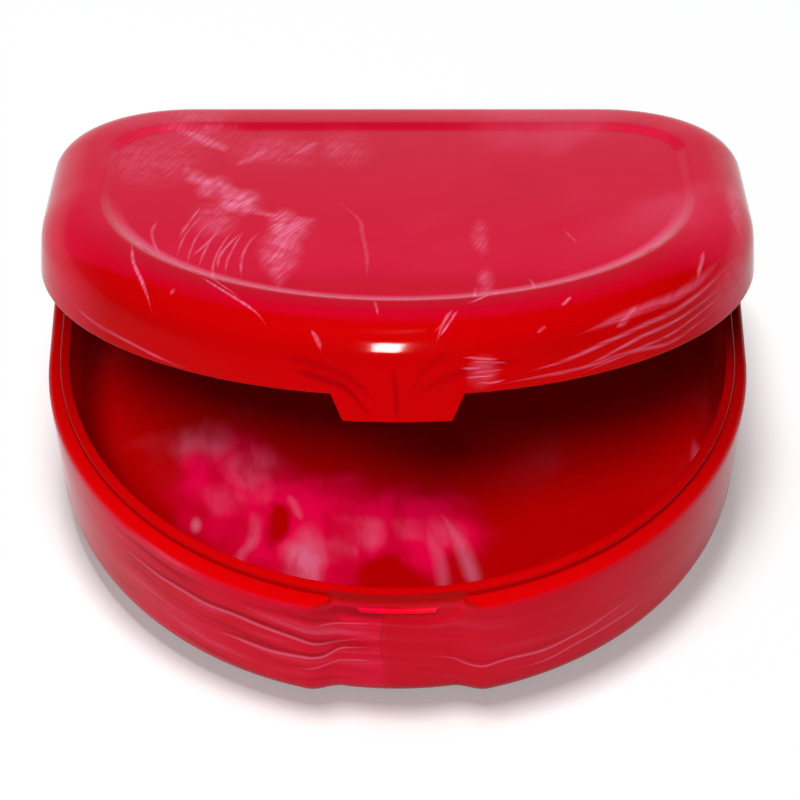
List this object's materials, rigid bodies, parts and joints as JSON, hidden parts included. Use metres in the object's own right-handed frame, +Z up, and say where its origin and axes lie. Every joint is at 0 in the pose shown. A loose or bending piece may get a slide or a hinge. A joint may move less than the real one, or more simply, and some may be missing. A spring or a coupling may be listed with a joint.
{
  "type": "retainer case",
  "caption": "D-shaped dental retainer case: a tray and a domed snap lid joined by a pinned hinge at the back, drawn with the lid part open.",
  "frame": {"origin": "on the surface the case stands on, under the centre of the tray's half-round front", "axes": "+X across the case, parallel to the hinge line; +Y from the front towards the hinge; +Z up"},
  "size_m": [0.08, 0.076, 0.0514],
  "materials": {
    "tray_plastic": "glossy crimson moulding plastic marbled with pale pink streaks",
    "lid_plastic": "glossy crimson moulding plastic marbled with pale pink wisps",
    "pin_steel": "drawn stainless steel wire, cut and bevelled"
  },
  "bodies": {
    "tray": {"base_tray": "tray_plastic", "hinge_pin_left": "pin_steel", "hinge_pin_right": "pin_steel"},
    "lid": {"lid": "lid_plastic"}
  },
  "joints": [
    {"name": "lid_hinge", "type": "hinge", "parent": "tray", "child": "lid", "pos_m": [0, 0.0346, 0.01815], "axis": [-1, 0, 0], "range_deg": [-21.4, 158.6]}
  ]
}
